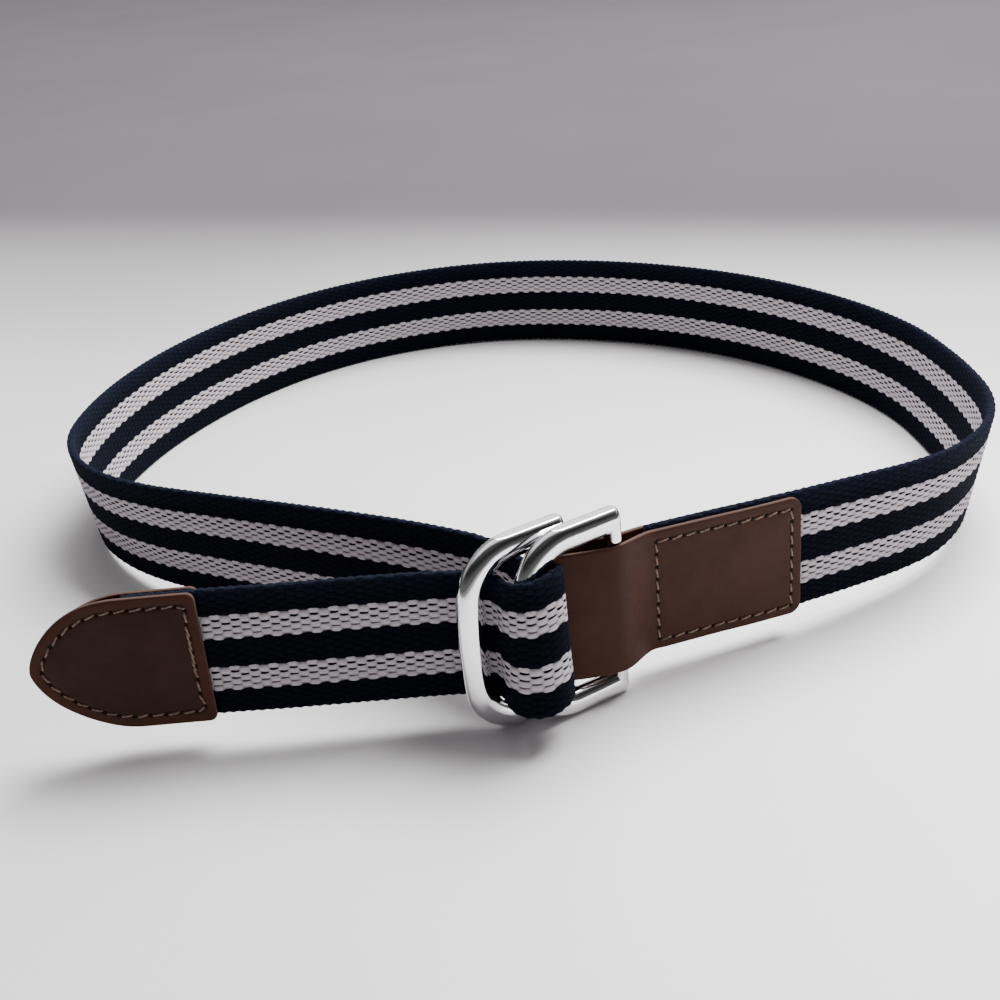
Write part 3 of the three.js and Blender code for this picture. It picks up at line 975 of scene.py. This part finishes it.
def build_tip(sizes, seams_sizes):
    strap = strap_ribbon()
    half = sizes.thickness / MM / 2
    edge = sizes.edge / MM
    outline = tip_outline()
    seam = inset_line(outline, SEAM_INSET)
    lengths = np.concatenate([[0.0], np.cumsum(np.linalg.norm(np.roll(seam, -1, axis=0) - seam, axis=1))])
    counts = lengths / lengths[-1] * round(lengths[-1] / (seams_sizes.pitch / MM))
    insets = [(edge * (1 - math.cos(t)), edge * math.sin(t) - edge) for t in np.radians([0, 45, 90])]
    insets += [(d, 0.0) for d in (0.7, 1.2, 1.7, 2.1, 2.5, 2.8, 3.1, 3.4, 3.7, 4.1, 4.6, 5.2, 6.0, 7.0, 8.5)]
    insets += [(d, 0.0) for d in (10.5, 13.0, 16.0, 40.0)]
    loops = [(inset_line(outline, d), d, half + drop, 1) for d, drop in insets][::-1]
    loops += [(inset_line(outline, d), d, -half - drop, 0) for d, drop in insets]
    size = len(outline)
    for side, node, name in ((1, "tip_front", "tip_front_calf"), (-1, "tip_back", "tip_back_calf")):
        ply = tip_ribbon(strap, side)
        places, outs, raws, rims = [], [], [], []
        for line, inset, out, grain in loops:
            along, gap = along_line(seam, counts, line)
            sunk = pucker(along, gap) + uneven(line[:, 0], line[:, 1], 8 + side) if grain else 0.0
            fade = min(1.0, inset / 0.7)
            places.append(line)
            outs.append(np.full(size, out) + sunk * fade)
            raws.append(np.full(size, 1.0 if inset < edge * 0.9 else 0.0))
            rims.append(np.full(size, 1 / (1 + math.exp((inset - 2.9) / 0.4))))
        places, outs = np.vstack(places), np.concatenate(outs)
        points = ply.place(np.clip(places[:, 0], 0, ply.length), places[:, 1] + STRAP_WIDTH / 2, side * outs)
        faces = []
        for k in range(len(loops) - 1):
            for i in range(size):
                j = (i + 1) % size
                quad = (k * size + i, k * size + j, (k + 1) * size + j, (k + 1) * size + i)
                faces.append(quad if side > 0 else quad[::-1])
        along, gap = along_line(seam, counts, places)
        piece = make_mesh(
            name,
            points,
            faces,
            bpy.data.materials.get("smooth brown calf leather") or leather_material(sizes),
            maps={"seam": seam_corners(faces, along, gap, counts[-1])},
            # tone marks the tip for its painted shade, darker than the tab.
            marks={"raw": np.concatenate(raws), "rim": np.concatenate(rims), "tone": np.ones(len(points))},
        )
        face_outwards(piece)
        shifted = seam + (0, STRAP_WIDTH / 2)
        threads = stitch_seams(
            f"{node}_stitches",
            seams_sizes,
            [(ply, shifted, counts, half, side)],
            doubled=(13, 14, 15) if side > 0 else (),
        )
        finish_leather(piece, threads, node)


# D-rings


def select_edges(piece, test):
    """Selects in edit mode the edges whose two ends both pass the test."""
    bpy.ops.object.mode_set(mode="OBJECT")
    mesh = piece.data
    passed = [test(v.co) for v in mesh.vertices]
    for face in mesh.polygons:
        face.select = False
    for vertex in mesh.vertices:
        vertex.select = False
    for line in mesh.edges:
        line.select = passed[line.vertices[0]] and passed[line.vertices[1]]
    bpy.ops.object.mode_set(mode="EDIT")
    bpy.context.tool_settings.mesh_select_mode = (False, True, False)


def model_ring(sizes):
    """One ring in its own plane: straight pin on the Z axis, curved bar towards +X, halves alike in Z.

    Its bar is oval, and the straight arms were ground flat on their outer sides.
    """
    wide, deep, corner = sizes.bar_wide / 2, sizes.bar_deep / 2, sizes.corner
    top = sizes.height / 2
    rise = top + sizes.ground - wide
    bar = RING_REACH * MM
    bow = math.radians(5)
    bow_radius = (rise - corner * (1 - math.sin(bow))) / math.sin(bow)
    corner_x = bar - bow_radius * (1 - math.cos(bow)) - corner * math.cos(bow)
    bpy.ops.object.select_all(action="DESELECT")
    bpy.ops.mesh.primitive_circle_add(vertices=48, radius=1, location=(bar, 0, 0))
    ring = bpy.context.active_object
    ring.scale = (wide, deep, 1)
    settle(ring)
    bpy.ops.object.mode_set(mode="EDIT")
    bpy.ops.mesh.select_all(action="SELECT")
    bpy.ops.mesh.spin(steps=6, angle=bow, center=(bar - bow_radius, 0, 0), axis=(0, 1, 0))
    bpy.ops.mesh.spin(
        steps=26, angle=math.radians(90) - bow, center=(corner_x, 0, rise - corner), axis=(0, 1, 0)
    )
    bpy.ops.mesh.extrude_region_move(TRANSFORM_OT_translate={"value": (-corner_x - deep, 0, 0)})
    bpy.ops.mesh.edge_face_add()
    select_edges(ring, lambda co: co.x < -deep + 1e-6)
    bpy.ops.mesh.bevel(offset=0.0019, segments=8, affect="EDGES")
    bpy.ops.mesh.select_all(action="SELECT")
    bpy.ops.mesh.bisect(
        plane_co=(0, 0, top), plane_no=(0, 0, 1), use_fill=True, clear_outer=True, threshold=1e-6
    )
    select_edges(ring, lambda co: co.z > top - 1e-6)
    bpy.ops.mesh.bevel(offset=0.00018, segments=2, affect="EDGES")
    bpy.ops.object.mode_set(mode="OBJECT")
    mirror = ring.modifiers.new("lower half", "MIRROR")
    mirror.use_axis = (False, False, True)
    mirror.merge_threshold = 1e-5
    apply_modifiers(ring)
    face_outwards(ring)

    low = rise - wide - sizes.foot
    for end in (1, -1):
        unite(ring, model_foot(sizes, end, rise, low))
    bpy.ops.object.select_all(action="DESELECT")
    bpy.ops.mesh.primitive_cylinder_add(
        vertices=40, radius=sizes.pin / 2, depth=2 * low + 0.001, location=(-0.0004, 0, 0)
    )
    unite(ring, bpy.context.active_object)
    face_outwards(ring)
    bpy.ops.object.shade_smooth_by_angle(angle=math.radians(32))
    return ring


def model_foot(sizes, end, rise, low):
    """The lug at an arm's end, which runs out of the arm in a small hollow and holds the pin."""
    deep, hollow = sizes.bar_deep / 2 - 0.0001, 0.0013
    outer, inner, start = -sizes.bar_deep / 2 + 0.00004, 0.0009, rise - 0.0006
    arm = rise - sizes.bar_wide / 2
    bpy.ops.object.select_all(action="DESELECT")
    width = inner + hollow - outer
    bpy.ops.mesh.primitive_plane_add(size=1, location=(outer + width / 2, 0, end * start))
    foot = bpy.context.active_object
    foot.scale = (width, 2 * deep, 1)
    settle(foot)
    bpy.ops.object.mode_set(mode="EDIT")
    bpy.ops.mesh.select_all(action="SELECT")
    bpy.ops.mesh.bevel(offset=0.0019, segments=7, affect="VERTICES")
    bends = [math.radians(a) for a in range(10, 91, 10)]
    heights = [start - (start - arm + hollow) * (1 - math.cos(a)) for a in bends]
    widths = [inner + hollow * (1 - math.sin(a)) - outer for a in bends]
    before, here = width, start
    for there, wide in (*zip(heights, widths), (low, widths[-1])):
        bpy.ops.mesh.extrude_region_move(TRANSFORM_OT_translate={"value": (0, 0, end * (there - here))})
        bpy.ops.transform.resize(value=(wide / before, 1, 1), center_override=(outer, 0, end * there))
        before, here = wide, there
    bpy.ops.mesh.bevel(offset=0.0005, segments=4, affect="EDGES")
    bpy.ops.object.mode_set(mode="OBJECT")
    face_outwards(foot)
    return foot


def unite(ring, part):
    joined = ring.modifiers.new("unite", "BOOLEAN")
    joined.operation = "UNION"
    joined.solver = "EXACT"
    joined.object = part
    apply_modifiers(ring)
    bpy.data.objects.remove(part)


def build_rings(sizes):
    model = model_ring(sizes)
    model.data.materials.clear()
    model.data.materials.append(chrome_material(sizes))
    for node, (x, y) in PINS.items():
        ring = model.copy()
        ring.data = model.data.copy()
        ring.name = f"d_{node}"
        bpy.context.scene.collection.objects.link(ring)
        ring.rotation_euler = (0, 0, math.pi + RING_TURN)
        ring.location = (x * MM, y * MM, sizes.height / 2)
        settle(ring)
        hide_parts(node)
        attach(ring, "root")
    bpy.data.objects.remove(model)


# Stage


def floor_material(sizes):
    """Pale matt sheet of a near and a far tone, with a soft horizon between them, and painted light and
    shade.

    The near part is painted darker towards the back and brighter to the right. The far tone stands for a wall
    in shade, and the floor in front, out of view, is painted dark as the shaded room that the chrome mirrors.
    """
    material, tree, shader = new_material("pale matt sheet")
    add = partial(add_node, tree)
    place = add("TexCoord", out="Object")
    turned = add("Mapping", {"Vector": place, "Rotation": (0, 0, math.radians(21.4))})
    depth = add("SeparateXYZ", turned, out="Y")
    clouds = add("TexNoise", place, 5.0, 3.0, 0.5)
    width = add("SeparateXYZ", place, out="X")
    # Painted shade and light: the near floor is darker towards the back and brighter to the right.
    near = add("Mix", 1.0, sizes.floor, add("MapRange", depth, -0.03, 0.26, 1.0, 0.45, **SMOOTH), **TINT)
    near = add("Mix", 1.0, near, add("MapRange", width, -0.2, 0.2, 0.92, 1.45, **SMOOTH), **TINT)
    # Painted shade: the far tone stands for a wall in shade past the horizon, painted lighter to the left and
    # further back.
    far = add("Mix", 1.0, sizes.far, add("MapRange", width, -0.9, 0.3, 1.6, 1.0, **SMOOTH), **TINT)
    far = add("Mix", 1.0, far, add("MapRange", depth, 0.35, 1.7, 0.84, 1.4, **SMOOTH), **TINT)
    tone = add("Mix", add("MapRange", depth, 0.2, 0.35, **SMOOTH), near, far, **COLOUR)
    # Painted shade: the whole floor fades dark far off.
    tone = add("Mix", 1.0, tone, add("MapRange", depth, 1.9, 2.5, 1.0, 0.1, **SMOOTH), **TINT)
    # Painted shade: the floor in front, out of view, falls dark, as the shaded room that the chrome mirrors.
    turned = add("Mapping", {"Vector": place, "Rotation": (0, 0, math.radians(7))})
    front = add("SeparateXYZ", turned, out="Y")
    tone = add("Mix", 1.0, tone, add("MapRange", front, -0.4, -0.234, 0.2, 1.0, **SMOOTH), **TINT)
    tone = add("Mix", 1.0, tone, add("MapRange", clouds, 0.3, 0.7, 0.96, 1.03, **SMOOTH), **TINT)
    tree.links.new(tone, shader.inputs["Base Color"])
    shader.inputs["Roughness"].default_value = 0.75
    shader.inputs["Specular IOR Level"].default_value = 0.2
    weave = add("TexNoise", place, 900.0, 2.0, 0.6)
    bump = add("Bump", {"Height": weave, "Strength": 0.1, "Distance": 0.0002})
    tree.links.new(bump, shader.inputs["Normal"])
    return material


def build_floor(sizes):
    bpy.ops.object.select_all(action="DESELECT")
    bpy.ops.mesh.primitive_circle_add(vertices=96, radius=6, fill_type="NGON", location=(0, 0, -0.00005))
    floor = bpy.context.active_object
    floor.name = "floor"
    settle(floor)
    floor.data.materials.append(floor_material(sizes))


def build_window(sizes):
    window = bpy.data.lights.new("window", "AREA")
    window.shape = "RECTANGLE"
    window.size, window.size_y = 1.1, 0.8
    window.energy = sizes.window
    window.color = (1.0, 0.985, 0.97)
    panel = bpy.data.objects.new("window", window)
    panel.location = (0.5, 0.45, 1.25)
    panel.rotation_euler = (Vector((0, -0.05, 0.02)) - panel.location).to_track_quat("-Z", "Y").to_euler()
    bpy.context.scene.collection.objects.link(panel)


def build_room(sizes):
    """The light from all round, which the chrome mirrors. Y points away from the camera, and Z up."""
    world = bpy.data.worlds.new("room")
    world.use_nodes = True
    bpy.context.scene.world = world
    tree = world.node_tree
    add = partial(add_node, tree)
    ground = tree.nodes["Background"]
    facing = add("TexCoord", out="Generated")
    across, ahead, up = (add("SeparateXYZ", facing, out=axis) for axis in "XYZ")
    wall_height = add("MapRange", up, 0.0, 0.5, 0.14, 0.03, **SMOOTH)
    wall_front = add("MapRange", ahead, -0.2, 0.3, 1.0, 0.25, **SMOOTH)
    walls = add("Math", wall_height, wall_front, operation="MULTIPLY")
    back_side = add("MapRange", ahead, -0.35, 0.3, 0.0, 0.45, **SMOOTH)
    back_height = add("MapRange", up, 0.15, 0.3, 0.05, 1.0, **SMOOTH)
    behind = add("Math", back_side, back_height, operation="MULTIPLY")
    overhead = add("MapRange", up, 0.6, 0.85, 0.0, 1.0, **SMOOTH)
    over_back = add("MapRange", ahead, -0.35, 0.1, 0.04, 1.0, **SMOOTH)
    above = add("Math", overhead, over_back, operation="MULTIPLY")
    # A pale wall behind on the right, which the rings' flats mirror.
    pale_right = add("MapRange", across, -0.2, -0.08, **SMOOTH)
    pale_back = add("MapRange", ahead, 0.2, 0.4, **SMOOTH)
    pale = add("Math", pale_right, pale_back, operation="MULTIPLY")
    pale_height = add("MapRange", up, 0.26, 0.34, 0.0, 1.5, **SMOOTH)
    pale = add("Math", pale, pale_height, operation="MULTIPLY")
    low_level = add("Math", walls, behind, operation="ADD")
    high_level = add("Math", above, pale, operation="ADD")
    level = add("Math", low_level, high_level, operation="ADD")
    level = add("Math", level, sizes.fill, operation="MULTIPLY")
    ground.inputs["Color"].default_value = (1.0, 0.985, 0.99, 1.0)
    tree.links.new(level, ground.inputs["Strength"])


def build_camera():
    pitch, roll = math.radians(27.18), math.radians(5.59)
    right = Vector((math.cos(roll), -math.sin(roll) * math.sin(pitch), -math.sin(roll) * math.cos(pitch)))
    up = Vector((math.sin(roll), math.cos(roll) * math.sin(pitch), math.cos(roll) * math.cos(pitch)))
    back = Vector((0, -math.cos(pitch), math.sin(pitch)))
    lens = bpy.data.cameras.new("camera")
    lens.sensor_width = 36
    lens.lens = 46.8
    lens.clip_start, lens.clip_end = 0.01, 20
    camera = bpy.data.objects.new("camera", lens)
    bpy.context.scene.collection.objects.link(camera)
    turn = Matrix((right, up, back)).transposed().to_4x4()
    camera.matrix_world = Matrix.Translation((-0.00525, -0.3974, 0.19845)) @ turn
    bpy.context.scene.camera = camera


# Operators and panel


class BELT_OT_webbing(bpy.types.Operator):
    """Weave the striped strap along its route"""

    bl_idname = "belt.webbing"
    bl_label = "Webbing"

    def execute(self, context):
        build_webbing(context.scene.belt_webbing)
        return {"FINISHED"}


class BELT_OT_tab(bpy.types.Operator):
    """Fold the leather tab round the rings' pins and stitch it"""

    bl_idname = "belt.tab"
    bl_label = "Leather tab"

    def execute(self, context):
        build_tab(context.scene.belt_leather, context.scene.belt_seams)
        return {"FINISHED"}


class BELT_OT_tip(bpy.types.Operator):
    """Cut both plies of the pointed tip and stitch them"""

    bl_idname = "belt.tip"
    bl_label = "Leather tip"

    def execute(self, context):
        build_tip(context.scene.belt_leather, context.scene.belt_seams)
        return {"FINISHED"}


class BELT_OT_rings(bpy.types.Operator):
    """Model one D-ring and set both in place"""

    bl_idname = "belt.rings"
    bl_label = "D-rings"

    def execute(self, context):
        build_rings(context.scene.belt_rings)
        return {"FINISHED"}


class BELT_OT_stage(bpy.types.Operator):
    """Set up the floor, the light and the camera"""

    bl_idname = "belt.stage"
    bl_label = "Stage"

    def execute(self, context):
        sizes = context.scene.belt_stage
        build_floor(sizes)
        build_window(sizes)
        build_room(sizes)
        build_camera()
        return {"FINISHED"}


OPERATORS = (BELT_OT_stage, BELT_OT_webbing, BELT_OT_tab, BELT_OT_tip, BELT_OT_rings)


class BELT_PT_panel(bpy.types.Panel):
    bl_label = "Canvas belt"
    bl_space_type = "VIEW_3D"
    bl_region_type = "UI"
    bl_category = "Belt"

    def draw(self, context):
        for operator in OPERATORS:
            self.layout.operator(operator.bl_idname)
        for group in GROUPS:
            box = self.layout.box()
            for setting in GROUPS[group].__annotations__:
                box.prop(getattr(context.scene, group), setting)


GROUPS = {
    "belt_webbing": BeltWebbing,
    "belt_leather": BeltLeather,
    "belt_seams": BeltSeams,
    "belt_rings": BeltRings,
    "belt_stage": BeltStage,
}
CLASSES = (*GROUPS.values(), *OPERATORS, BELT_PT_panel)


def register():
    for cls in CLASSES:
        bpy.utils.register_class(cls)
    for label, group in GROUPS.items():
        setattr(bpy.types.Scene, label, PointerProperty(type=group))


def unregister():
    for label in GROUPS:
        delattr(bpy.types.Scene, label)
    for cls in reversed(CLASSES):
        bpy.utils.unregister_class(cls)


def main():
    register()
    bpy.ops.belt.stage()
    bpy.ops.belt.webbing()
    bpy.ops.belt.tab()
    bpy.ops.belt.tip()
    bpy.ops.belt.rings()


if __name__ == "__main__":
    main()
